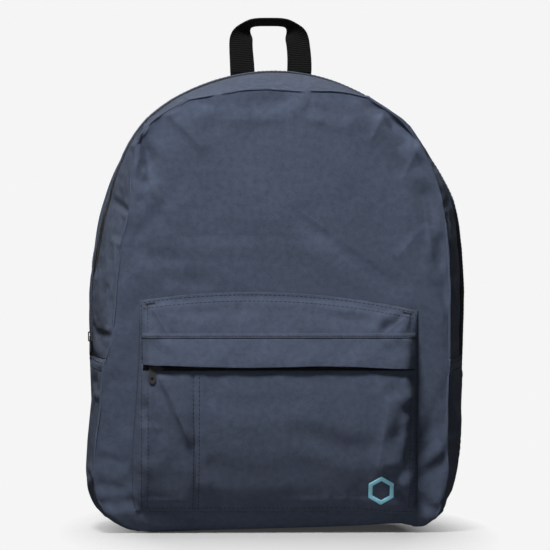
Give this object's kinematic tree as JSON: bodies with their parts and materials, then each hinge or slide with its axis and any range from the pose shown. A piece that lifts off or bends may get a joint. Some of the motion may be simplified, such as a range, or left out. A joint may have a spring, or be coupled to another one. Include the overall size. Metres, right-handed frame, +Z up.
{
  "type": "school backpack",
  "caption": "Navy fabric school backpack with a domed zipped main compartment, a zipped front pocket under a flap, a grab handle and padded shoulder straps.",
  "frame": {"origin": "centre of the bounding box's base, on the floor the bag stands on", "axes": "+Z up, the front faces -Y, +X to the right of a viewer who looks at the front"},
  "size_m": [0.326, 0.2084, 0.4435],
  "materials": {
    "navy_oxford": "matte coated oxford weave",
    "black_webbing": "matte ribbed webbing",
    "black_zip": "matte zip tape and nylon coil",
    "black_plastic": "moulded acetal",
    "black_metal": "semi-gloss black enamel",
    "foam": "closed-cell foam",
    "lining": "thin plain lining",
    "spacer_mesh": "open spacer mesh",
    "binding_tape": "matte grosgrain tape",
    "blue_print": "raised rubber print"
  },
  "bodies": {
    "bag": {"back_panel": "navy_oxford", "back_foam": "foam", "back_lining": "lining", "strap_yoke": "navy_oxford", "rear_zip_strip": "navy_oxford", "lower_gusset": "navy_oxford", "lower_front_panel": "navy_oxford", "front_strip_legs": "navy_oxford", "seam_binding_rear": "binding_tape", "seam_binding_front": "binding_tape", "main_zip_tape_rear": "black_zip", "main_zip_coil_rear": "black_zip", "main_zip_tape_front_legs": "black_zip", "main_zip_coil_front_legs": "black_zip", "pocket_pen_panel": "navy_oxford", "pocket_main_panel": "navy_oxford", "pocket_top_panel": "navy_oxford", "pocket_zip_end_tabs": "navy_oxford", "pocket_zip_tape_upper": "black_zip", "pocket_zip_coil_upper": "black_zip", "pocket_zip_tape_lower": "black_zip", "pocket_zip_coil_lower": "black_zip", "pocket_flap_seam": "navy_oxford", "emblem_print": "blue_print", "grab_handle_anchors": "black_webbing", "strap_root_left": "navy_oxford", "strap_foot_left": "black_webbing", "wing_tab_left": "navy_oxford", "strap_root_right": "navy_oxford", "strap_foot_right": "black_webbing", "wing_tab_right": "navy_oxford"},
    "front_flap": {"upper_front_panel": "navy_oxford", "front_zip_strip": "navy_oxford", "main_zip_tape_front": "black_zip", "main_zip_coil_front": "black_zip", "seam_binding_flap": "binding_tape"},
    "main_slider_body": {"main_slider": "black_metal"},
    "main_pull_body": {"main_pull": "black_metal"},
    "pocket_slider_body": {"pocket_slider": "black_metal"},
    "pocket_pull_body": {"pocket_pull": "black_metal"},
    "pocket_flap_body": {"pocket_flap": "navy_oxford"},
    "handle_body": {"grab_handle": "black_webbing"},
    "strap_body_left": {"strap_mesh_left": "spacer_mesh", "strap_foam_left": "foam", "strap_face_left": "navy_oxford", "strap_binding_left": "binding_tape", "strap_loop_left": "black_webbing", "ladder_lock_left": "black_plastic", "strap_webbing_left": "black_webbing"},
    "tail_body_left": {"strap_tail_left": "black_webbing"},
    "strap_body_right": {"strap_mesh_right": "spacer_mesh", "strap_foam_right": "foam", "strap_face_right": "navy_oxford", "strap_binding_right": "binding_tape", "strap_loop_right": "black_webbing", "ladder_lock_right": "black_plastic", "strap_webbing_right": "black_webbing"},
    "tail_body_right": {"strap_tail_right": "black_webbing"}
  },
  "joints": [
    {"name": "front_opening", "type": "hinge", "parent": "bag", "child": "front_flap", "pos_m": [0, -0.07324, 0.218], "axis": [1, 0, 0], "range_deg": [0, 90]},
    {"name": "main_slider_run", "type": "slide", "parent": "bag", "child": "main_slider_body", "axis": [0, 0, 1], "range_m": [0, 0.044]},
    {"name": "main_pull_turn", "type": "hinge", "parent": "main_slider_body", "child": "main_pull_body", "pos_m": [-0.16078, 0.0075, 0.167], "axis": [0, 1, 0], "range_deg": [0, 150]},
    {"name": "pocket_slider_run", "type": "slide", "parent": "bag", "child": "pocket_slider_body", "axis": [1, 0, 0], "range_m": [0, 0.21]},
    {"name": "pocket_pull_turn", "type": "hinge", "parent": "pocket_slider_body", "child": "pocket_pull_body", "pos_m": [-0.1088, -0.09639, 0.14423], "axis": [0, -0.9913, 0.132], "range_deg": [-60, 60]},
    {"name": "pocket_flap_lift", "type": "hinge", "parent": "bag", "child": "pocket_flap_body", "pos_m": [0, -0.09131, 0.168], "axis": [-1, 0, 0], "range_deg": [0, 110]},
    {"name": "handle_bend", "type": "hinge", "parent": "bag", "child": "handle_body", "pos_m": [0, 0.0543, 0.3983], "axis": [1, 0, 0], "range_deg": [-80, 70], "stiffness_Nm_per_rad": 0.02},
    {"name": "strap_swing_left", "type": "hinge", "parent": "bag", "child": "strap_body_left", "pos_m": [-0.042, 0.0565, 0.372], "axis": [0.2793, 0, 0.9602], "range_deg": [0, 30]},
    {"name": "tail_swing_left", "type": "hinge", "parent": "strap_body_left", "child": "tail_body_left", "pos_m": [-0.12646, 0.07466, 0.07983], "axis": [0.9562, -0.0894, -0.2788], "range_deg": [0, 60]},
    {"name": "strap_swing_right", "type": "hinge", "parent": "bag", "child": "strap_body_right", "pos_m": [0.042, 0.0565, 0.372], "axis": [0.2793, 0, -0.9602], "range_deg": [0, 30]},
    {"name": "tail_swing_right", "type": "hinge", "parent": "strap_body_right", "child": "tail_body_right", "pos_m": [0.12646, 0.07466, 0.07983], "axis": [0.9562, 0.0894, 0.2788], "range_deg": [0, 60]}
  ]
}
